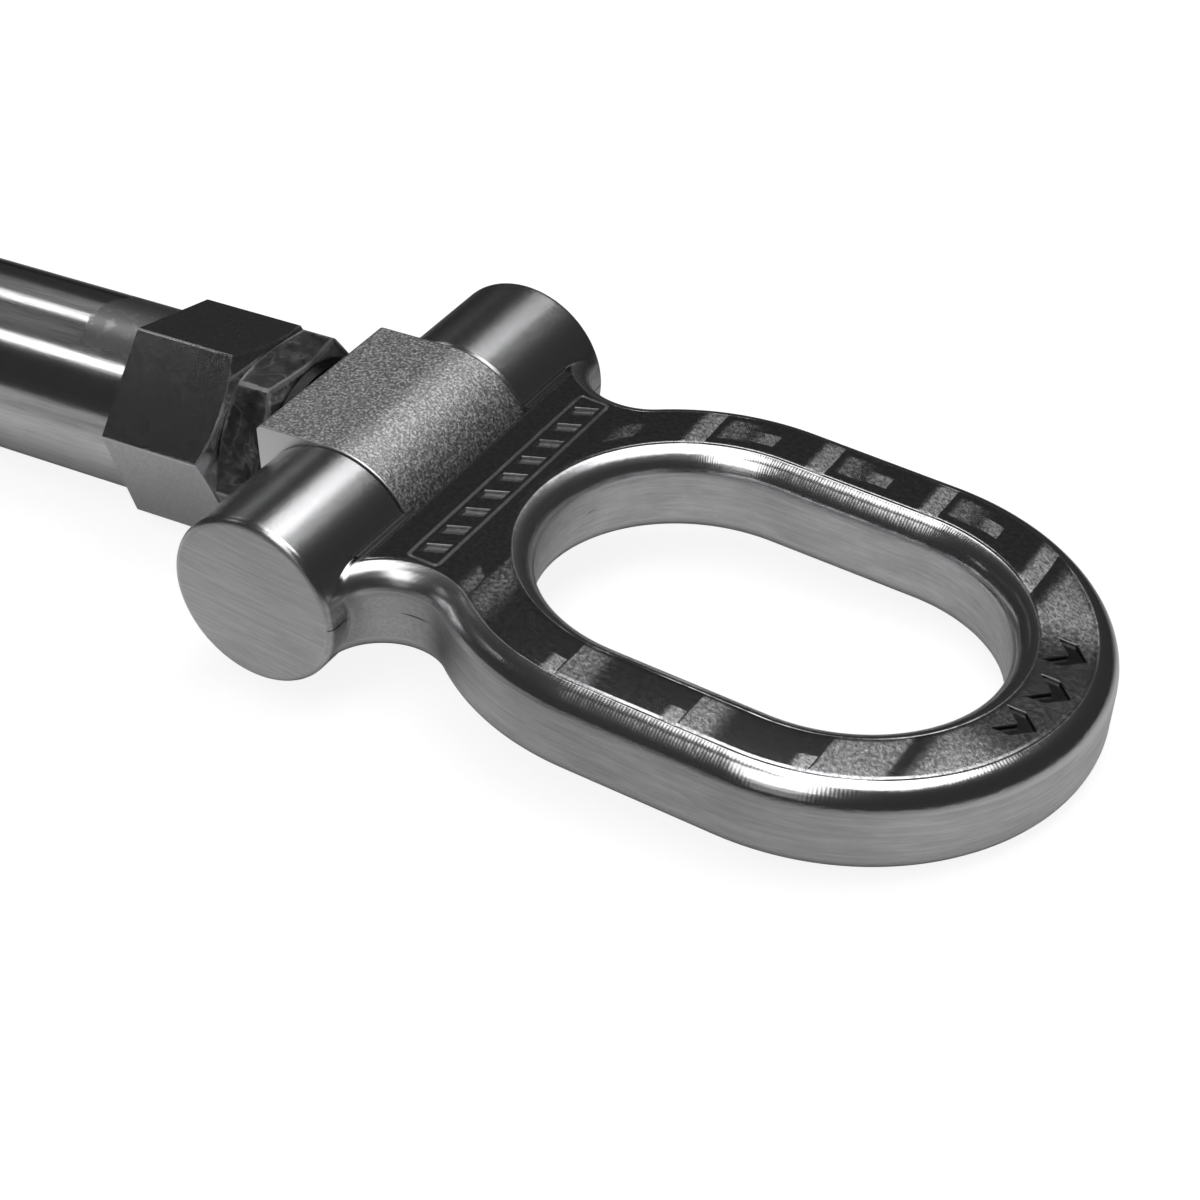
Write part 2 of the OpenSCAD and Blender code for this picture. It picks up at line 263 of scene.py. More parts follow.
def as_object(bm, name):
    """An object in the scene made from bm, which is used up."""
    mesh = bpy.data.meshes.new(name)
    bm.to_mesh(mesh)
    bm.free()
    made = bpy.data.objects.new(name, mesh)
    bpy.context.scene.collection.objects.link(made)
    return made


def combine(piece, bm, operation):
    """Joins, cuts or crosses the piece with the solid in bm, which is used up."""
    tool = as_object(bm, "tool")
    step = piece.modifiers.new("Combine", "BOOLEAN")
    step.operation, step.solver, step.object = operation, "EXACT", tool
    bpy.context.view_layer.update()
    shaped = piece.evaluated_get(bpy.context.evaluated_depsgraph_get())
    mesh = bpy.data.meshes.new_from_object(shaped)
    piece.modifiers.clear()
    used = (piece.data, tool.data)
    piece.data = mesh
    bpy.data.objects.remove(tool)
    for old in used:
        bpy.data.meshes.remove(old)


def finish(piece, body, node, slot, material, move=None, sharp=28):
    """Puts the piece at its place in metres, shades it, and lets it stand for its node."""
    mesh = piece.data
    mesh.transform(Matrix.Scale(MM, 4) @ (move or Matrix.Identity(4)))
    bm = bmesh.new()
    bm.from_mesh(mesh)
    bmesh.ops.remove_doubles(bm, verts=bm.verts, dist=2e-7)
    bmesh.ops.dissolve_degenerate(bm, dist=2e-7, edges=bm.edges)
    bmesh.ops.recalc_face_normals(bm, faces=bm.faces)
    bm.to_mesh(mesh)
    bm.free()
    if not len(mesh.polygons):
        raise RuntimeError(f"{piece.name} came out empty")
    mesh.shade_smooth()
    mesh.set_sharp_from_angle(angle=math.radians(sharp))
    even = piece.modifiers.new("Even shading", "WEIGHTED_NORMAL")
    even.keep_sharp, even.weight = True, 80
    mesh.materials.clear()
    mesh.materials.append(material)
    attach(piece, body)
    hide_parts(node)
    return piece


# Node tools

class Net:
    """Adds nodes to one tree and joins their sockets."""

    def __init__(self, tree):
        self.tree = tree

    def add(self, kind, out=0, ins=None, **props):
        node = self.tree.nodes.new(kind)
        for key, value in props.items():
            setattr(node, key, value)
        for key, value in (ins or {}).items():
            self.feed(node.inputs[key], value)
        node.location.x = 190 * len(self.tree.nodes)
        return node if out is None else node.outputs[out]

    def feed(self, socket, value):
        if isinstance(value, bpy.types.NodeSocket):
            self.tree.links.new(value, socket)
        else:
            socket.default_value = value

    def math(self, operation, a, b=0.0):
        return self.add("ShaderNodeMath", ins={0: a, 1: b}, operation=operation)

    def chain(self, operation, values):
        """One operation worked through several values from the left."""
        result = values[0]
        for value in values[1:]:
            result = self.math(operation, result, value)
        return result

    def mul(self, *values):
        return self.chain("MULTIPLY", values)

    def plus(self, *values):
        return self.chain("ADD", values)

    def minus(self, *values):
        return self.chain("SUBTRACT", values)

    def larger(self, *values):
        return self.chain("MAXIMUM", values)

    def smaller(self, *values):
        return self.chain("MINIMUM", values)

    def unsigned(self, value):
        return self.math("ABSOLUTE", value)

    def hypot(self, a, b):
        return self.math("SQRT", self.plus(self.mul(a, a), self.mul(b, b)))

    def wave(self, value, length):
        """A sine of the value that repeats after a length."""
        return self.math("SINE", self.mul(value, 2 * math.pi / length))

    def vec(self, operation, a, b):
        return self.add("ShaderNodeVectorMath", ins={0: a, 1: b}, operation=operation)

    def split(self, vector):
        return self.add("ShaderNodeSeparateXYZ", out=None, ins={0: vector}).outputs[:]

    def join(self, x=0.0, y=0.0, z=0.0):
        return self.add("ShaderNodeCombineXYZ", ins={0: x, 1: y, 2: z})

    def turn(self, vector, angles):
        """The vector turned about the origin."""
        return self.add("ShaderNodeMapping", out="Vector", ins={"Vector": vector, "Rotation": angles})

    def ramp(self, value, low, high, start=0.0, end=1.0):
        """The value eased from start, where it is low, to end, where it is high."""
        ins = {"Value": value, "From Min": low, "From Max": high, "To Min": start, "To Max": end}
        return self.add("ShaderNodeMapRange", interpolation_type="SMOOTHSTEP", ins=ins)

    def noise(self, vector, scale, detail=2.0, roughness=0.5, distortion=0.0):
        ins = {"Vector": vector, "Scale": scale, "Detail": detail, "Roughness": roughness,
               "Distortion": distortion}
        return self.add("ShaderNodeTexNoise", ins=ins)

    def wander(self, vector, reach, scale, detail=3.0, roughness=0.5):
        """Noise about zero, of the given reach."""
        return self.mul(self.minus(self.noise(vector, scale, detail, roughness), 0.5), reach)

    def mix(self, factor, a, b, kind="RGBA"):
        node = self.add("ShaderNodeMix", out=None, data_type=kind)
        tail = {"RGBA": "Color", "FLOAT": "Float"}[kind]
        for name, value in (("Factor_Float", factor), (f"A_{tail}", a), (f"B_{tail}", b)):
            socket = next(i for i in node.inputs if i.identifier == name)
            self.feed(socket, (*value, 1.0) if isinstance(value, tuple) else value)
        return next(o for o in node.outputs if o.identifier == f"Result_{tail}")

    def blend(self, factor, a, b):
        """A plain number mixed from a to b."""
        return self.mix(factor, a, b, "FLOAT")

    def shade(self, value, low, high, base, dim, bright):
        """The base colour from dim times itself, where the value is low, to bright times."""
        return self.mix(self.ramp(value, low, high), tint(base, dim), tint(base, bright))

    def bump(self, height, strength, distance, normal=None):
        ins = {"Height": height, "Strength": strength, "Distance": distance}
        if normal is not None:
            ins["Normal"] = normal
        return self.add("ShaderNodeBump", ins=ins)

    def group(self, tree, **ins):
        node = self.add("ShaderNodeGroup", out=None, node_tree=tree)
        for key, value in ins.items():
            self.feed(node.inputs[key.replace("_", " ")], value)
        return node.outputs

    def lay(self, vector, stretch, scale, contrast):
        return self.group(tool_lay(), Vector=vector, Stretch=stretch, Scale=scale, Contrast=contrast)[0]

    def hex_wear(self, place, turn, across_flats, end, face_r, slope, width, ragged):
        """Wear and a painted edge highlight on one end of a hex, from sizes in millimetres and the last two
        in metres.
        """
        corner_r = across_flats / math.sqrt(3) * MM
        return self.group(hex_wear(), Vector=place, Turn=turn, Corner_radius=corner_r, End=end * MM,
                          Face_radius=face_r * MM, Slope=math.tan(slope), Width=width, Ragged=ragged)[0]


def tint(base, factor):
    return tuple(factor * part for part in base)


def effect(name, ins, outs):
    """Makes a builder of nodes into one that gives the effect group, built once, with named sockets."""
    def wrap(build):
        def group():
            tree = bpy.data.node_groups.get(name)
            if tree:
                return tree
            tree = bpy.data.node_groups.new(name, "ShaderNodeTree")
            for label, value in ins.items():
                kind = "NodeSocketVector" if isinstance(value, tuple) else "NodeSocketFloat"
                tree.interface.new_socket(label, in_out="INPUT", socket_type=kind).default_value = value
            for label in outs:
                tree.interface.new_socket(label, in_out="OUTPUT", socket_type="NodeSocketFloat")
            net = Net(tree)
            start = net.add("NodeGroupInput", out=None)
            end = net.add("NodeGroupOutput", out=None)
            build(net, {s.name: s for s in start.outputs}, end.inputs)
            return tree
        return group
    return wrap


@effect("Tool lay", {"Vector": (0.0, 0.0, 0.0), "Stretch": (1.0, 1.0, 1.0), "Scale": 1000.0,
                     "Contrast": 1.0}, ["Lay"])
def tool_lay(net, ins, outs):
    """Fine streaks left by a tool: noise drawn out along one direction."""
    drawn = net.vec("MULTIPLY", ins["Vector"], ins["Stretch"])
    streaks = net.wander(drawn, ins["Contrast"], ins["Scale"], detail=4.0, roughness=0.7)
    net.feed(outs["Lay"], net.plus(streaks, 0.5))


@effect("Hex wear", {"Vector": (0.0, 0.0, 0.0), "Turn": 0.0, "Corner radius": 0.016, "End": 0.0,
                     "Face radius": 0.013, "Slope": 0.5, "Width": 0.0005, "Ragged": 0.0003}, ["Wear"])
def hex_wear(net, ins, outs):
    """Where a hex on the X axis is rubbed bright and carries a painted edge highlight: along its corners
    and round its end chamfer.
    """
    x, y, z = net.split(ins["Vector"])
    corner_r, sixth = ins["Corner radius"], math.pi / 3
    around = net.minus(net.math("ARCTAN2", z, y), ins["Turn"])
    off = net.minus(around, net.mul(net.math("ROUND", net.math("DIVIDE", around, sixth)), sixth))
    radius = net.hypot(y, z)
    beside = net.mul(radius, net.math("SINE", off))
    short = net.minus(corner_r, net.mul(radius, net.math("COSINE", off)))
    corner = net.hypot(beside, short)
    fall = net.mul(net.minus(radius, ins["Face radius"]), ins["Slope"])
    level = net.math("COSINE", net.minus(sixth / 2, net.unsigned(off)))
    sunk = net.minus(net.mul(corner_r, math.cos(sixth / 2)), net.mul(radius, level))
    rim = net.hypot(net.minus(ins["End"], fall, x), sunk)
    near = net.plus(net.smaller(corner, rim), net.wander(ins["Vector"], ins["Ragged"], 900.0))
    line = net.ramp(near, net.mul(ins["Width"], 0.4), ins["Width"], 1.0, 0.0)
    broken = net.ramp(net.noise(ins["Vector"], 95.0), 0.38, 0.60, 0.15, 1.0)
    net.feed(outs["Wear"], net.mul(line, broken))


@effect("Loop path", {"Vector": (0.0, 0.0, 0.0), "Centre": 0.06, "Half": 0.011, "Mid radius": 0.029},
        ["Along", "Out"])
def loop_path(net, ins, outs):
    """Places on the eye's loop: how far along its limbs, and how far out from its spine."""
    x, y, _ = net.split(ins["Vector"])
    low = net.minus(ins["Centre"], ins["Half"])
    high = net.plus(ins["Centre"], ins["Half"])
    spine = net.smaller(net.larger(x, low), high)
    past = net.minus(x, spine)
    swept = net.math("ARCTAN2", past, net.unsigned(y))
    net.feed(outs["Along"], net.plus(spine, net.mul(swept, ins["Mid radius"])))
    net.feed(outs["Out"], net.hypot(past, y))


# Metals

def metal(name):
    """A material with its net, its coordinates and its steel shader's inputs."""
    material = bpy.data.materials.new(name)
    material.use_nodes = True
    tree = material.node_tree
    tree.nodes.clear()
    net = Net(tree)
    place = net.add("ShaderNodeTexCoord", out="Object")
    shader = net.add("ShaderNodeBsdfPrincipled", out=None, ins={"Metallic": 1.0})
    net.add("ShaderNodeOutputMaterial", out=None, ins={"Surface": shader.outputs[0]})
    return material, net, place, shader.inputs


def polished_steel(finish, size):
    """Polished steel, scuffed lengthwise, with a dull patch beside the hex."""
    material, net, place, steel = metal("Polished steel")
    x, _, z = net.split(place)
    base, hex_start = tuple(finish.polished), size.shaft_len * MM
    lay = net.lay(place, (0.05, 1.0, 1.0), 2600.0, 1.2)
    smudge = net.noise(place, 55.0, 3.0, 0.6)
    grain = net.noise(place, 1500.0, 4.0, 0.7)
    hexed = net.ramp(x, hex_start - 0.0002, hex_start + 0.0001)

    # The dull patch and its flecks
    ragged = net.wander(place, 0.006, 260.0, 3.0, 0.6)
    along = net.ramp(net.plus(x, ragged), hex_start - 0.0110, hex_start - 0.0102)
    top = net.ramp(net.plus(z, net.mul(ragged, 0.3)), 0.0112, 0.0122)
    dull = net.mul(along, top, net.minus(1.0, hexed))
    fleck = net.ramp(net.noise(place, 520.0), 0.55, 0.62)

    # Worn lines along the hex's corners and end chamfer, brightened as a painted edge highlight
    wear_and_glint = net.hex_wear(place, size.hex_turn, size.hex_af, size.shaft_len + size.hex_len, size.hex_face_r,
                        size.hex_slope, 0.00035, 0.0003)
    wear_and_glint = net.mul(wear_and_glint, hexed)

    tone = net.mix(net.ramp(smudge, 0.35, 0.75), base, tint(base, 0.9))
    tone = net.mix(net.ramp(lay, 0.40, 0.80, 0.0, 0.55), tone, tint(base, 0.55))
    tone = net.mix(net.mul(dull, net.ramp(fleck, 0.0, 1.0, 1.0, 0.5)), tone, tint(base, 0.62))
    tone = net.mix(hexed, tone, net.shade(grain, 0.35, 0.65, base, 0.78, 0.92))
    # The hex's edges are coloured brighter than the steel: real wear and a painted edge highlight
    net.feed(steel["Base Color"], net.mix(wear_and_glint, tone, tint(base, 1.1)))

    rough = net.plus(net.mul(lay, 0.10), finish.polish - 0.03, net.ramp(smudge, 0.5, 0.8, 0.0, 0.05))
    rough = net.blend(dull, rough, net.ramp(fleck, 0.0, 1.0, 0.36, 0.30))
    rough = net.blend(hexed, rough, net.ramp(grain, 0.3, 0.7, 0.14, 0.18))
    net.feed(steel["Roughness"], net.blend(wear_and_glint, rough, 0.40))
    height = net.blend(hexed, lay, net.mul(grain, 0.8))
    net.feed(steel["Normal"], net.bump(height, 0.16, 0.00003))
    return material


def black_oxide(finish, size):
    """Black oxide, rubbed bright along the nut's edges with a painted edge highlight, with wriggly worn
    lines and painted shade on the seat.
    """
    material, net, place, steel = metal("Black oxide")
    base, back = tuple(finish.oxide), HINGE / MM - size.block_back
    x = net.split(place)[0]
    mottle = net.noise(place, 420.0, 4.0, 0.65)
    scuff = net.lay(place, (0.25, 1.0, 0.6), 1500.0, 1.6)
    # Each end's worn edge lines also serve as a painted edge highlight
    ends = [net.hex_wear(place, size.nut_turn, size.nut_af, back - inset, face_r, slope, width, 0.0009)
            for inset, face_r, slope, width in (
                (size.nut_seat_h, size.nut_seat_r, size.nut_slope, 0.0007),
                (size.nut_t, size.nut_face_r, -size.nut_slope, 0.0006))]
    rubbed = net.mul(net.ramp(scuff, 0.5, 0.8), net.ramp(mottle, 0.45, 0.7, 0.0, 0.7))
    wriggle = net.unsigned(net.minus(net.noise(place, 150.0, distortion=0.8), 0.5))
    wriggle = net.mul(net.ramp(wriggle, 0.0, 0.030, 0.38, 0.0),
                      net.ramp(net.noise(place, 120.0), 0.42, 0.62))
    worn_and_glint = net.larger(*ends, rubbed, wriggle)
    tone = net.mix(mottle, tint(base, 0.6), tint(base, 2.2))
    # Worn places take the worn steel's colour, which is raised to paint the edge highlight
    tone = net.mix(worn_and_glint, tone, tuple(finish.bare_and_glint))
    # Painted shade: the turned seat between the nut and the block is coloured near black
    seat = (back - size.nut_seat_h) * MM
    net.feed(steel["Base Color"], net.mix(net.ramp(x, seat - 0.0003, seat), tone, tint(base, 0.2)))
    net.feed(steel["Roughness"], net.blend(worn_and_glint, net.ramp(mottle, 0.3, 0.7, 0.26, 0.42), 0.38))
    net.feed(steel["Normal"], net.bump(net.plus(mottle, net.mul(scuff, 0.4)), 0.35, 0.00012))
    return material


def blasted_steel(finish, size):
    """Bead-blasted steel, with smoother ends."""
    material, net, place, steel = metal("Blasted steel")
    base, end = tuple(finish.blasted), size.block_w / 2 * MM
    grain = net.noise(place, 2500.0, 3.0, 0.65)
    coarse = net.noise(place, 1100.0)
    beside = net.unsigned(net.split(place)[1])
    side = net.ramp(beside, end - 0.0003, end - 0.00005)
    tone = net.shade(grain, 0.40, 0.72, base, 0.52, 1.42)
    net.feed(steel["Base Color"], net.mix(side, tone, tint(base, 1.3)))
    net.feed(steel["Roughness"], net.blend(side, net.ramp(grain, 0.3, 0.7, 0.40, 0.56), 0.34))
    height = net.mul(net.plus(grain, net.mul(coarse, 0.5)), net.blend(side, 1.0, 0.15))
    net.feed(steel["Normal"], net.bump(height, 0.55, 0.00016))
    return material


def milled_steel(finish, size):
    """The eye's steel: turned bosses, milled side walls, stepped face-milled flats and rippled edges, with
    painted shade where the bosses meet the plate.
    """
    material, net, place, steel = metal("Milled steel")
    base = tuple(finish.milled)
    ins = {"Vector": place, "Location": (HINGE, 0.0, 0.0), "Rotation": (0.0, size.droop, 0.0)}
    level = net.add("ShaderNodeMapping", out="Vector", ins=ins, vector_type="TEXTURE")
    x, y, z = net.split(level)
    beside, height, axis_r = net.unsigned(y), net.unsigned(z), net.hypot(x, z)
    face, boss_r, boss_end = size.plate_t / 2 * MM, size.boss_r * MM, size.boss_span / 2 * MM
    mid_r = (size.hole_r + size.limb_w / 2) * MM
    path = net.group(loop_path(), Vector=level, Centre=size.loop_x * MM, Half=size.loop_half * MM,
                     Mid_radius=mid_r)
    along, out = path["Along"], path["Out"]

    # Where each surface is
    turned = net.ramp(axis_r, boss_r + 0.00015, boss_r + 0.00055, 1.0, 0.0)
    boss = net.mul(turned, net.ramp(beside, 0.0150, 0.0154))
    disc = net.mul(turned, net.ramp(beside, boss_end - 0.00025, boss_end - 0.00005))
    flat = net.mul(net.ramp(height, face - 0.00012, face - 0.00004), net.ramp(x, 0.0115, 0.0120))
    wall = net.ramp(height, face - 0.0036, face - 0.0030, 1.0, 0.0)
    rounded = net.mul(net.minus(1.0, wall), net.minus(1.0, flat), net.ramp(axis_r, 0.0140, 0.0150))
    # Painted shade: a near-black band along the corner where the bosses meet the plate's face
    corner = net.mul(net.ramp(axis_r, boss_r + 0.00002, boss_r + 0.00014),
                     net.ramp(x, 0.0119, 0.0127, 1.0, 0.0), net.ramp(height, face - 0.0002, face - 0.00005))
    sunk = net.mul(net.ramp(height, face - 0.00044, face - 0.00040, 1.0, 0.0),
                   net.ramp(height, face - 0.00062, face - 0.00058))
    band = net.unsigned(net.minus(x, size.band_x * MM))
    bars = net.mul(sunk, net.ramp(band, 0.0019, 0.0020, 1.0, 0.0),
                   net.ramp(beside, 0.0222, 0.0224, 1.0, 0.0))
    limb = net.unsigned(net.minus(out, mid_r))
    chevrons = net.mul(sunk, net.ramp(limb, 0.0030, 0.0032, 1.0, 0.0), net.ramp(x, 0.0900, 0.0902))
    patches = milled_patches(net, x, y, out)

    # Fine lay and texture of each surface
    lathed = net.lay(level, (0.03, 1.0, 0.03), 9000.0, 1.3)
    brushed = net.lay(net.turn(level, (0.0, math.radians(-3), 0.0)), (0.06, 1.0, 1.0), 1900.0, 1.6)
    walls = net.lay(net.join(along, out, z), (0.05, 0.6, 1.0), 2600.0, 1.0)
    scraped = net.lay(net.turn(level, (0.0, 0.0, math.radians(38))), (0.4, 1.0, 0.4), 3600.0, 1.5)
    cloudy = net.noise(net.join(x, y), 1300.0, 4.0, 0.7)
    blotch = net.noise(net.join(along, net.mul(z, 2.0)), 90.0, 4.0, 0.6)
    nicks = net.noise(net.vec("MULTIPLY", net.join(along, out, z), (130.0, 0.0, 900.0)), 1.0, 2.0, 0.4)
    nicks = net.mul(net.ramp(nicks, 0.70, 0.74), net.ramp(x, 0.020, 0.034, 1.0, 0.12))

    # Colour
    grainy = net.plus(net.mul(scraped, 0.6), net.mul(cloudy, 0.4))
    flats = net.mix(patches, net.shade(cloudy, 0.2, 0.8, base, 0.55, 1.0),
                    net.shade(grainy, 0.36, 0.64, base, 0.25, 1.30))
    sides = net.plus(net.mul(walls, 0.55), net.mul(blotch, 0.45))
    sides = net.mix(net.mul(nicks, wall), net.shade(sides, 0.3, 0.7, base, 0.70, 1.06), tint(base, 0.2))
    tone = net.mix(flat, net.mix(wall, base, sides), flats)
    tone = net.mix(disc, tone, net.shade(brushed, 0.25, 0.75, base, 1.04, 1.26))
    tone = net.mix(bars, tone, net.shade(cloudy, 0.2, 0.8, base, 0.35, 0.60))
    tone = net.mix(chevrons, tone, net.shade(cloudy, 0.2, 0.8, base, 0.10, 0.22))
    # The corner where the bosses meet the plate is painted dark as shade
    net.feed(steel["Base Color"], net.mix(corner, tone, tint(base, 0.08)))

    # Gloss
    rough = net.blend(wall, net.ramp(x, 0.024, 0.046, 0.27, 0.18), 0.40)
    rough = net.blend(flat, rough, net.blend(patches, 0.10, net.ramp(cloudy, 0.3, 0.7, 0.32, 0.46)))
    rough = net.blend(boss, rough, net.plus(0.22, net.mul(lathed, 0.06)))
    rough = net.blend(disc, rough, 0.40)
    net.feed(steel["Roughness"], net.blend(corner, rough, 0.35))
    net.feed(steel["Anisotropic"], net.mul(net.minus(1.0, disc), boss, 0.6))
    net.feed(steel["Tangent"], net.join(0.0, 1.0, 0.0))

    # Relief
    marks = net.blend(wall, 0.0, net.mul(walls, 0.5))
    marks = net.blend(flat, marks, net.mul(scraped, net.plus(0.15, net.mul(patches, 0.55))))
    marks = net.blend(boss, marks, net.mul(lathed, 0.7))
    marks = net.blend(disc, marks, net.mul(brushed, 0.45))
    passes = net.mul(net.wave(net.plus(z, net.mul(blotch, 0.0006)), 0.0008),
                     net.ramp(x, 0.035, 0.060, 0.24, 0.08))
    ripple = net.plus(net.mul(net.wave(along, 0.00045), 0.10), passes)
    marks = net.plus(marks, net.mul(ripple, rounded))
    wavy = net.bump(net.mul(blotch, net.minus(1.0, net.larger(flat, boss))), 1.0, 0.00014)
    net.feed(steel["Normal"], net.bump(marks, 0.35, 0.00004, wavy))
    return material


def milled_patches(net, x, y, out):
    """A mask of the light patches on the loop's flats, stepped along X, staggered on the two limbs."""
    pitch, spot = 0.0177, net.join(x, y)
    stepped = net.plus(x, net.wander(spot, 0.0007, 160.0))

    def pulse(value, low, high, soft_in, soft_out):
        return net.mul(net.ramp(value, low, low + soft_in),
                       net.ramp(value, high - soft_out, high, 1.0, 0.0))

    def row(start, width, soft_in, soft_out, level):
        """Patches that repeat along X from the first one's start."""
        into = net.mul(net.math("FRACT", net.math("DIVIDE", net.minus(stepped, start), pitch)), pitch)
        return net.mul(pulse(into, 0.0, width, soft_in, soft_out), level)

    broad = row(0.0276, 0.0062, 0.0003, 0.0038, 0.47)
    tongue = net.mul(row(0.0248, 0.0028, 0.0014, 0.0002, 0.8), net.ramp(out, 0.0296, 0.0298))
    last = net.mul(pulse(x, 0.0810, 0.0898, 0.0010, 0.0012), 0.5)
    bars = row(0.0328, 0.0038, 0.0016, 0.0003, 1.0)
    cloud = net.mul(row(0.0369, 0.0068, 0.0012, 0.0048, 0.62), pulse(out, 0.0268, 0.0322, 0.0006, 0.0006))
    tab = net.mul(row(0.0400, 0.0054, 0.0036, 0.0003, 0.8), pulse(out, 0.0274, 0.0305, 0.0003, 0.0003))
    near = net.ramp(y, -0.0005, 0.0005, 1.0, 0.0)
    rows = net.blend(near, net.larger(cloud, tab, bars), net.larger(broad, tongue, last))
    rows = net.mul(rows, net.ramp(net.noise(spot, 300.0, 3.0), 0.3, 0.7, 0.85, 1.0),
                   net.ramp(x, 0.0270, 0.0300, 0.6, 1.0), net.ramp(x, 0.0898, 0.0902, 1.0, 0.0))
    tip = net.mul(net.ramp(x, 0.0902, 0.0930), net.ramp(net.noise(spot, 110.0, 3.0), 0.3, 0.7, 0.6, 0.9),
                  net.ramp(y, -0.018, -0.010, 0.68, 0.24), net.ramp(y, 0.006, 0.018, 1.0, 4.6))
    return net.mul(net.larger(rows, tip), net.ramp(x, 0.0235, 0.0255))


def pin_steel(finish):
    """Ground steel."""
    material, net, place, steel = metal("Pin steel")
    lay = net.lay(place, (1.0, 0.05, 1.0), 2500.0, 1.2)
    net.feed(steel["Base Color"], net.mix(lay, tint(finish.pin, 0.85), tuple(finish.pin)))
    net.feed(steel["Roughness"], net.ramp(lay, 0.3, 0.7, 0.28, 0.40))
    net.feed(steel["Normal"], net.bump(lay, 0.25, 0.00003))
    return material


# Pieces

def settings():
    scene = bpy.context.scene
    return in_mm(scene.tow_shank), in_mm(scene.tow_eye), scene.tow_finish


def hexagon(across_flats, turn):
    r = across_flats / math.sqrt(3)
    return [(r * math.cos(turn + k * math.pi / 3), r * math.sin(turn + k * math.pi / 3)) for k in range(6)]


class TOWEYE_OT_shaft(bpy.types.Operator):
    """Models the polished shaft with its integral hex and threaded tail"""
    bl_idname = "toweye.shaft"
    bl_label = "Shaft"
    RINGS_PER_TURN = 16

    def execute(self, context):
        s, _, finishes = settings()
        hex_end = s.shaft_len + s.hex_len
        r, c, core = s.shaft_r, s.shaft_break, 6
        bar = lathe([(-1, 0), (-1, core), (0, core), (0, r - c), (c * 0.3, r - c * 0.3), (c, r),
                     (s.shaft_len + 1, r), (s.shaft_len + 1, 0)], "X", 256)
        piece = as_object(bar, "shaft_steel")
        bar = slab(hexagon(s.hex_af, s.hex_turn), s.shaft_len, hex_end + 2, "X")
        round_edges(bar, bar.edges[:], s.hex_edge)
        end = as_object(bar, "hex_end")
        wide = s.hex_af / math.sqrt(3) + 1
        cone = hex_end - (wide - s.hex_face_r) * math.tan(s.hex_slope)
        combine(end, lathe([(s.shaft_len - 1, 0), (s.shaft_len - 1, wide), (cone, wide),
                            (hex_end, s.hex_face_r), (hex_end, 0)], "X"), "INTERSECT")
        bm = bmesh.new()
        bm.from_mesh(end.data)
        combine(piece, bm, "UNION")
        combine(piece, self.tail(s), "UNION")
        bore = rod(hex_end - s.stud_in - s.bore_spare, hex_end + 1, s.stud_r + s.stud_gap, "X")
        combine(piece, bore, "DIFFERENCE")
        bpy.data.objects.remove(end)
        finish(piece, "shank", "shaft", "polished_steel", polished_steel(finishes, s))
        return {"FINISHED"}

    def tail(self, s):
        """The tail as a turned bar whose rings are moved in to a right-hand thread."""
        rings = round(s.tail_len / s.thread_pitch * self.RINGS_PER_TURN)
        outline = [(-s.tail_len, 0)] + [(-s.tail_len * (1 - k / rings), s.tail_r) for k in range(rings + 1)]
        bm = lathe(outline + [(0.5, s.tail_r), (0.5, 0)], "X", 120)
        crest = s.crest_w / s.thread_pitch
        flank = s.thread_depth * math.tan(math.radians(30)) / s.thread_pitch
        turns = math.floor((s.tail_len - s.tail_chamfer - s.collar_len) / s.thread_pitch)
        last = s.collar_len + s.thread_pitch * turns
        for v in bm.verts:
            around = math.hypot(v.co.y, v.co.z)
            if around < 1:
                continue
            turn = math.atan2(v.co.z, v.co.y) / (2 * math.pi)
            along = -v.co.x - s.collar_len
            wave = (along / s.thread_pitch + turn) % 1
            cut = min(1.0, wave / flank, max(0.0, (1 - crest - wave) / flank))
            fade = min(1.0, max(0.0, along / s.thread_pitch * 1.5), max(0.0, (last + v.co.x) * 2 + 1))
            r = s.tail_r - s.thread_depth * max(0.0, cut) * fade
            r = min(r, s.tail_r - s.tail_chamfer + (v.co.x + s.tail_len))
            v.co.y, v.co.z = v.co.y * r / around, v.co.z * r / around
        return tidy(bm)


class TOWEYE_OT_nut(bpy.types.Operator):
    """Models the black jam nut with its chamfers and turned seat"""
    bl_idname = "toweye.nut"
    bl_label = "Jam Nut"

    def execute(self, context):
        s, _, finishes = settings()
        low = s.shaft_len + s.hex_len + s.nut_gap
        high = low + s.nut_t - 2 * s.nut_gap
        bar = slab(hexagon(s.nut_af, s.nut_turn), low - 2, high + 2, "X")
        corners = [e for e in bar.edges if abs(e.verts[0].co.x - e.verts[1].co.x) > 1]
        round_edges(bar, corners, s.nut_edge, 4)
        piece = as_object(bar, "jam_nut_steel")
        wide = s.nut_af / math.sqrt(3) * 1.1
        rise = math.tan(s.nut_slope)
        combine(piece, lathe([(low, 0), (low, s.nut_face_r), (low + (wide - s.nut_face_r) * rise, wide),
                              (high - s.nut_seat_h - (wide - s.nut_seat_r) * rise, wide),
                              (high - s.nut_seat_h, s.nut_seat_r), (high, s.nut_seat_r - s.nut_seat_taper),
                              (high, 0)], "X", 256), "INTERSECT")
        combine(piece, rod(low - 1, high + 1, s.stud_r + s.stud_gap, "X"), "DIFFERENCE")
        finish(piece, "shank", "jam_nut", "black_oxide", black_oxide(finishes, s))
        return {"FINISHED"}


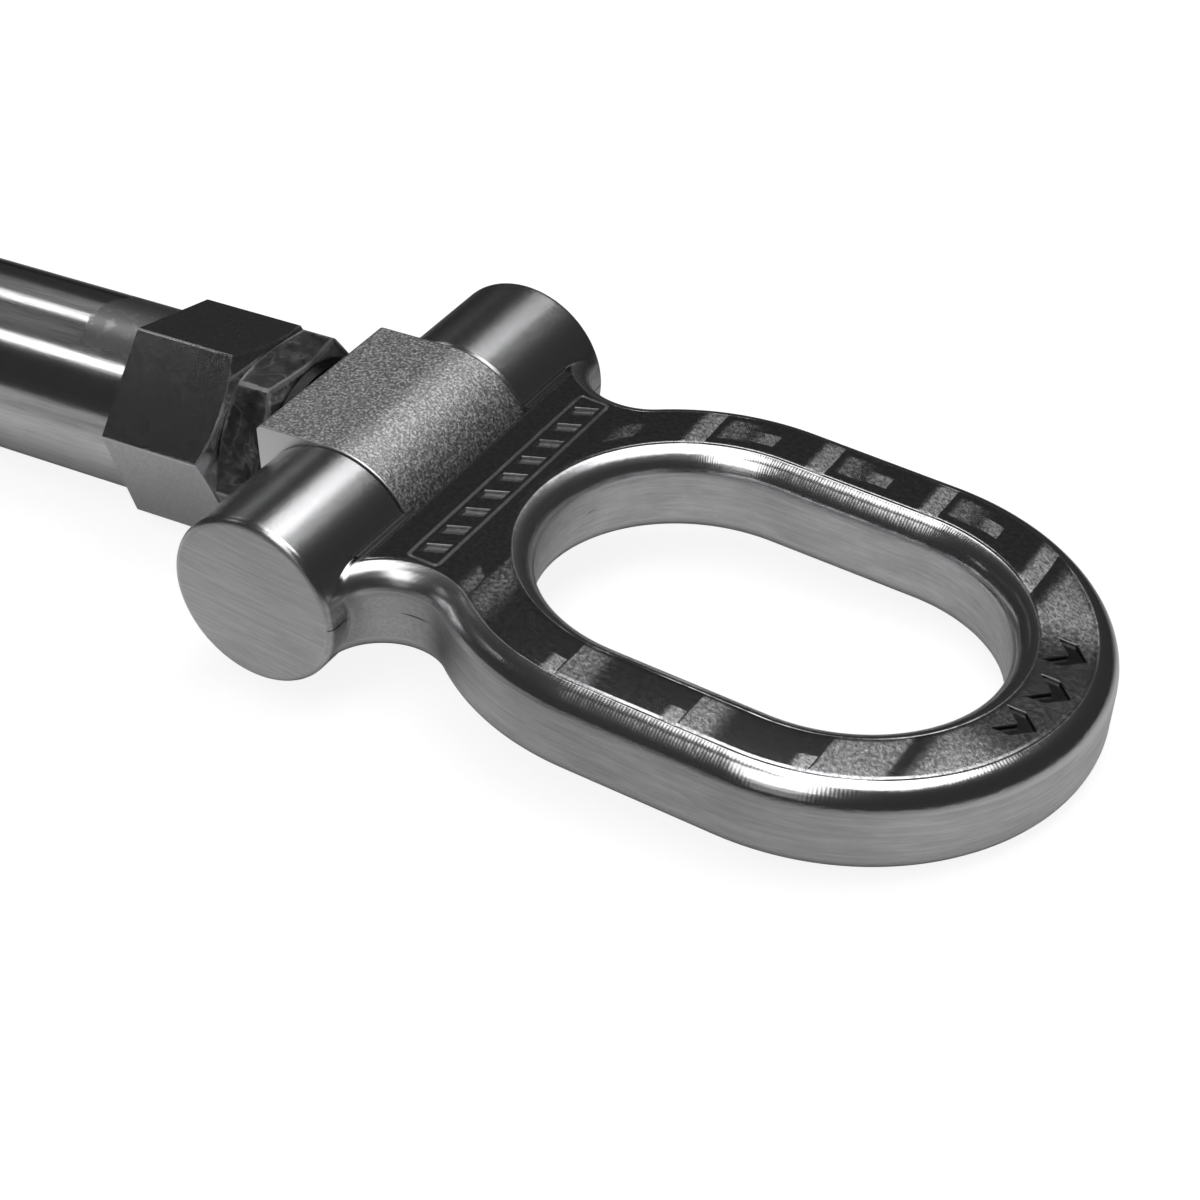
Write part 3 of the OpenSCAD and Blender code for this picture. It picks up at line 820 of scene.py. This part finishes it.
class TOWEYE_OT_block(bpy.types.Operator):
    """Models the blasted pivot block with its stud and its bore for the pin"""
    bl_idname = "toweye.block"
    bl_label = "Pivot Block"

    def execute(self, context):
        s, e, finishes = settings()
        h, c, back, w = s.block_r, s.block_corner, s.block_back, s.block_w / 2
        side = (arc(0, 0, h, -90, 90, 72) + arc(c - back, h - c, c, 90, 180, 8)
                + arc(c - back, c - h, c, 180, 270, 8))
        bm = slab(side, -w, w, "Y")
        rims = [g for g in bm.edges if all(abs(abs(v.co.y) - w) < 1e-4 for v in g.verts)]
        round_edges(bm, rims, s.block_break, 4)
        piece = as_object(bm, "pivot_block_steel")
        start = -back - s.nut_t - s.stud_in
        point = 1.2
        combine(piece, lathe([(start, 0), (start, s.stud_r - point), (start + point, s.stud_r),
                              (2 - back, s.stud_r), (2 - back, 0)], "X", 96), "UNION")
        combine(piece, rod(-w - 2, w + 2, e.pin_r + e.pin_gap, "Y"), "DIFFERENCE")
        finish(piece, "shank", "pivot_block", "blasted_steel", blasted_steel(finishes, s),
               Matrix.Translation((HINGE / MM, 0, 0)))
        return {"FINISHED"}


class TOWEYE_OT_eye(bpy.types.Operator):
    """Models the milled eye: two turned bosses, the neck, the loop and the engraved ornament"""
    bl_idname = "toweye.eye"
    bl_label = "Hinged Eye"

    def execute(self, context):
        _, e, finishes = settings()
        piece = as_object(self.bosses(e), "eye_steel")
        combine(piece, self.neck(e), "UNION")
        combine(piece, self.loop(e), "UNION")
        for cutter in (self.slot(e), self.pin_hole(e), self.ornament(e)):
            combine(piece, cutter, "DIFFERENCE")
        move = Matrix.Translation((HINGE / MM, 0, 0)) @ Matrix.Rotation(e.droop, 4, "Y")
        finish(piece, "loop_eye", "eye", "milled_steel", milled_steel(finishes, e), move)
        return {"FINISHED"}

    def bosses(self, e):
        span, r, c = e.boss_span / 2, e.boss_r, e.boss_break
        low = arc(-span + c, r - c, c, 180, 90, 8)
        high = arc(span - c, r - c, c, 90, 0, 8)
        return lathe([(-span, 0)] + low + high + [(span, 0)], "Y", 256)

    def slot(self, e):
        """The slot between the bosses, with a small break on the bosses' inner rims."""
        half, r, edge = e.slot_half, e.boss_r, e.slot_edge
        rim = [(half, 0), (half, r - edge), (half + edge, r), (half + edge, r + 0.05), (half, r + 0.4),
               (half, e.slot_r)]
        return lathe([(-a, b) for a, b in rim] + rim[::-1], "Y", 256)

    def loop(self, e):
        """The loop's limb swept round one half of the loop and mirrored."""
        mid, w, t, r = e.hole_r + e.limb_w / 2, e.limb_w / 2, e.plate_t / 2, e.edge_r
        bm = bmesh.new()
        corners = ((w - r, t - r, 0), (r - w, t - r, 90), (r - w, r - t, 180), (w - r, r - t, 270))
        outline = [p for u, v, start in corners for p in arc(u, v, r, start, start + 90, 12)]
        verts = [bm.verts.new((0, -mid + u, v)) for u, v in outline]
        ends = [bm.edges.new((a, b)) for a, b in zip(verts, verts[1:] + verts[:1])]
        grown = bmesh.ops.extrude_edge_only(bm, edges=ends)["geom"]
        moved = verts_of(grown)
        bmesh.ops.translate(bm, verts=moved, vec=(e.loop_half, 0, 0))
        rim = moved + [g for g in grown if isinstance(g, bmesh.types.BMEdge)
                       and all(abs(v.co.x - e.loop_half) < 1e-5 for v in g.verts)]
        bmesh.ops.spin(bm, geom=rim, cent=(e.loop_half, 0, 0), axis=AXIS["Z"], angle=math.pi, steps=128)
        far = {v for v in bm.verts if v.co.y > 0 and abs(v.co.x - e.loop_half) < 1e-3}
        rim = [g for g in bm.edges if all(v in far for v in g.verts)]
        grown = bmesh.ops.extrude_edge_only(bm, edges=rim)["geom"]
        bmesh.ops.translate(bm, verts=verts_of(grown), vec=(-e.loop_half, 0, 0))
        bmesh.ops.mirror(bm, geom=bm.verts[:] + bm.edges[:] + bm.faces[:], axis="X", merge_dist=1e-4)
        bmesh.ops.translate(bm, verts=bm.verts, vec=(e.loop_x, 0, 0))
        return tidy(bm)

    def neck(self, e):
        """The flat web between bosses and loop, filleted to the bosses and hollowed at its sides."""
        t, f = e.plate_t / 2, e.neck_fillet
        loop_r, loop_end = e.hole_r + e.limb_w, e.loop_x - e.loop_half
        nx = e.boss_r - e.neck_bite + e.neck_r
        ny = math.sqrt((loop_r + e.neck_r) ** 2 - (loop_end - nx) ** 2)
        web = as_object(slab([(0, -ny), (nx, -ny), (loop_end, 0), (nx, ny), (0, ny)], -t, t, "Z"), "web")
        fx = math.sqrt((e.boss_r + f) ** 2 - (t + f) ** 2)
        lean = math.degrees(math.atan2(t + f, fx))
        for side in (1, -1):
            curve = [(u, side * v) for u, v in arc(fx, t + f, f, 180 + lean, 270, 10)]
            combine(web, slab([(0, 0)] + curve + [(fx, 0)], -ny, ny, "Y"), "UNION")
        hole = rod(-t - 1, t + 1, e.hole_r + e.limb_w / 2, "Z", 192)
        bmesh.ops.translate(hole, verts=hole.verts, vec=(loop_end, 0, 0))
        combine(web, hole, "DIFFERENCE")
        r, n = e.edge_r, e.neck_r
        flare = arc(t - r, n + r, r, 0, -90, 12)
        outline = ([(-2 * t, 0), (-2 * t, n + r)] + [(-a, b) for a, b in flare] + flare[::-1]
                   + [(2 * t, n + r), (2 * t, 0)])
        for side in (1, -1):
            cutter = lathe(outline, "Z", 160)
            bmesh.ops.translate(cutter, verts=cutter.verts, vec=(nx, side * ny, 0))
            combine(web, cutter, "DIFFERENCE")
        bm = bmesh.new()
        bm.from_mesh(web.data)
        bpy.data.objects.remove(web)
        return bm

    def pin_hole(self, e):
        start, end, r = -e.boss_span / 2 + e.blind_wall, e.boss_span / 2, e.pin_r
        return lathe([(start, 0), (start, r), (end - e.mouth, r), (end + e.mouth, r + 2 * e.mouth),
                      (end + e.mouth, 0)], "Y", 128)

    def ornament(self, e):
        """The plain engraved ornament: an outlined band of slanted bars, and three chevrons on the tip."""
        t = e.plate_t / 2
        low, high = t - e.cut_depth, t + 1
        bm = bmesh.new()
        w, n, line, turn = e.band_w / 2, e.band_len / 2, e.line_w, 0.9
        corners = ((-w, -n), (w, -n), (w, n), (-w, n))
        bm.faces.new([bm.verts.new((e.band_x + u, v, low)) for u, v in corners])
        bmesh.ops.bevel(bm, geom=bm.verts[:], offset=turn, affect="VERTICES", segments=5, profile=0.5,
                        material=-1)
        ring = bmesh.ops.inset_region(bm, faces=bm.faces[:], thickness=line, use_boundary=True,
                                      use_even_offset=True)["faces"]
        bmesh.ops.delete(bm, geom=[g for g in bm.faces if g not in ring], context="FACES")
        outlines = []
        pitch = (e.band_len - 4 * line) / e.bar_count
        half = w - line - e.bar_margin
        a, b = (e.bar_w + e.bar_slant) / 2, (e.bar_w - e.bar_slant) / 2
        left, right = e.band_x - half, e.band_x + half
        for k in range(e.bar_count):
            v = (k - (e.bar_count - 1) / 2) * pitch
            outlines.append([(left, v - a), (left, v + b), (right, v + a), (right, v - b)])
        c, mid = e.chevron_w / 2, e.hole_r + e.limb_w / 2
        for k in (-1, 0, 1):
            v = k * e.chevron_step
            u = e.loop_x + e.loop_half + math.sqrt(mid ** 2 - v ** 2)
            outlines.append([(u - c, v - c), (u, v - c), (u + c, v), (u, v + c), (u - c, v + c), (u, v)])
        for outline in outlines:
            bm.faces.new([bm.verts.new((u, v, low)) for u, v in outline])
        return extrude(bm, bm.faces[:], (0, 0, high - low))


class TOWEYE_OT_pin(bpy.types.Operator):
    """Models the hinge pin pressed into the eye"""
    bl_idname = "toweye.pin"
    bl_label = "Hinge Pin"

    def execute(self, context):
        _, e, finishes = settings()
        low = -e.boss_span / 2 + e.blind_wall + e.pin_play
        high, r, c = e.boss_span / 2 - e.pin_sink, e.pin_r, e.pin_chamfer
        bar = lathe([(low, 0), (low, r - c), (low + c, r), (high - c, r), (high - c * 0.3, r - c * 0.3),
                     (high, r - c), (high, 0)], "Y", 128)
        finish(as_object(bar, "hinge_pin_steel"), "loop_eye", "hinge_pin", "pin_steel", pin_steel(finishes),
               Matrix.Translation((HINGE / MM, 0, 0)))
        return {"FINISHED"}


class TOWEYE_OT_stage(bpy.types.Operator):
    """Sets the pale floor, the soft studio lights and the camera"""
    bl_idname = "toweye.stage"
    bl_label = "Stage"

    def execute(self, context):
        scene = context.scene
        self.floor(scene)
        self.world(scene)
        for lamp in LAMPS:
            self.light(scene, lamp)
        lens = bpy.data.cameras.new("Camera")
        lens.sensor_width, lens.lens = 36.0, CAMERA_LENS
        camera = bpy.data.objects.new("Camera", lens)
        rows = zip(zip(CAMERA_RIGHT, CAMERA_UP, CAMERA_BACK), CAMERA_SPOT)
        camera.matrix_world = Matrix([(*row, place) for row, place in rows] + [(0, 0, 0, 1)])
        scene.collection.objects.link(camera)
        scene.camera = camera
        scene.view_settings.view_transform = "Standard"
        return {"FINISHED"}

    def floor(self, scene):
        """A pale sheet under the hex and the loop's tip, on which the object rests."""
        bm = bmesh.new()
        bmesh.ops.create_grid(bm, x_segments=1, y_segments=1, size=3.0)
        for v in bm.verts:
            v.co.x += HINGE
            v.co.z = FLOOR_AT_HEX - (v.co.x - scene.tow_shank.shaft_len) * FLOOR_FALL
        floor = as_object(bm, "floor")
        material = bpy.data.materials.new("Pale floor")
        material.use_nodes = True
        material.node_tree.nodes.clear()
        net = Net(material.node_tree)
        rays = net.add("ShaderNodeLightPath", out=None).outputs
        x, y, _ = net.split(net.add("ShaderNodeTexCoord", out="Object"))

        # A painted pool of light in the floor's colour that only the metal's reflections see, brightest
        # round the object and dimmer behind it
        past = net.minus(x, net.smaller(net.larger(x, 0.0), 0.2))
        away = net.larger(net.minus(net.hypot(past, y), 0.035), 0.0)
        painted_pool = net.math("DIVIDE", 0.06, net.plus(away, 0.06))
        painted_pool = net.mul(painted_pool, net.ramp(y, 0.02, 0.12, 1.0, 0.3))
        # A broader painted glow in front of the shaft, also seen only in reflections
        wide = net.mul(net.ramp(x, -0.04, 0.06, 1.1, 0.0), net.ramp(y, -0.06, 0.0, 1.0, 0.0))
        dim = net.blend(rays["Is Camera Ray"], 1.0, 0.35)
        dim = net.blend(rays["Is Glossy Ray"], dim, net.larger(painted_pool, wide))
        tone = net.mix(dim, (0.0, 0.0, 0.0), tuple(scene.tow_finish.floor))
        matt = net.add("ShaderNodeBsdfDiffuse", ins={"Color": tone})
        seen = net.mul(rays["Is Camera Ray"], 0.88)
        glow = net.add("ShaderNodeEmission", ins={"Color": (1, 1, 1, 1), "Strength": seen})
        both = net.add("ShaderNodeAddShader", ins={0: matt, 1: glow})
        net.add("ShaderNodeOutputMaterial", out=None, ins={"Surface": both})
        floor.data.materials.append(material)

    def world(self, scene):
        """A room that is white to the camera and dim in the metal."""
        world = bpy.data.worlds.new("Studio")
        scene.world = world
        world.use_nodes = True
        world.node_tree.nodes.clear()
        net = Net(world.node_tree)
        rays = net.add("ShaderNodeLightPath", out=None).outputs
        tone = net.blend(rays["Is Camera Ray"], 0.036, 1.0)
        back = net.add("ShaderNodeBackground", ins={"Color": (1, 1, 1, 1), "Strength": tone})
        net.add("ShaderNodeOutputWorld", out=None, ins={"Surface": back})

    def light(self, scene, lamp):
        """An area lamp aimed at the object's axis; a narrow one lies along the shaft."""
        light = bpy.data.lights.new(lamp.name, "AREA")
        light.shape, light.size, light.size_y = lamp.shape, lamp.wide, lamp.tall
        light.energy = lamp.level * math.pi * lamp.wide * lamp.tall
        made = bpy.data.objects.new(lamp.name, light)
        a, h = math.radians(lamp.azimuth), math.radians(lamp.elevation)
        away = Vector((math.cos(a) * math.cos(h), math.sin(a) * math.cos(h), math.sin(h)))
        made.location = Vector((lamp.aim_x, 0, 0)) + away * lamp.distance
        made.rotation_euler = away.to_track_quat("Z", "Y").to_euler()
        if lamp.spread < 180:
            light.spread = math.radians(lamp.spread)
            light.energy *= math.tan(light.spread / 2) ** 2
            along = (Vector((1, 0, 0)) - away * away.x).normalized()
            made.rotation_euler = Matrix((along.cross(away), along, away)).transposed().to_euler()
        made.visible_camera = False
        scene.collection.objects.link(made)


class TOWEYE_PT_panel(bpy.types.Panel):
    """Lists the tow eye's pieces and settings"""
    bl_idname = "TOWEYE_PT_panel"
    bl_label = "Tow Eye"
    bl_space_type = "VIEW_3D"
    bl_region_type = "UI"
    bl_category = "Tow Eye"

    def draw(self, context):
        for step in STEPS:
            self.layout.operator(step.bl_idname)
        for group in (context.scene.tow_shank, context.scene.tow_eye, context.scene.tow_finish):
            box = self.layout.box()
            for prop in group.bl_rna.properties:
                if prop.type in {"FLOAT", "INT"}:
                    box.prop(group, prop.identifier)


STEPS = (TOWEYE_OT_stage, TOWEYE_OT_shaft, TOWEYE_OT_nut, TOWEYE_OT_block, TOWEYE_OT_eye, TOWEYE_OT_pin)
CLASSES = (ShankSizes, EyeSizes, Finishes, *STEPS, TOWEYE_PT_panel)


def register():
    for cls in CLASSES:
        bpy.utils.register_class(cls)
    bpy.types.Scene.tow_shank = PointerProperty(type=ShankSizes)
    bpy.types.Scene.tow_eye = PointerProperty(type=EyeSizes)
    bpy.types.Scene.tow_finish = PointerProperty(type=Finishes)


def unregister():
    del bpy.types.Scene.tow_shank, bpy.types.Scene.tow_eye, bpy.types.Scene.tow_finish
    for cls in reversed(CLASSES):
        bpy.utils.unregister_class(cls)


def main():
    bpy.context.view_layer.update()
    register()
    bpy.ops.toweye.stage()
    bpy.ops.toweye.shaft()
    bpy.ops.toweye.nut()
    bpy.ops.toweye.block()
    bpy.ops.toweye.eye()
    bpy.ops.toweye.pin()
    bpy.context.view_layer.update()


if __name__ == "__main__":
    main()
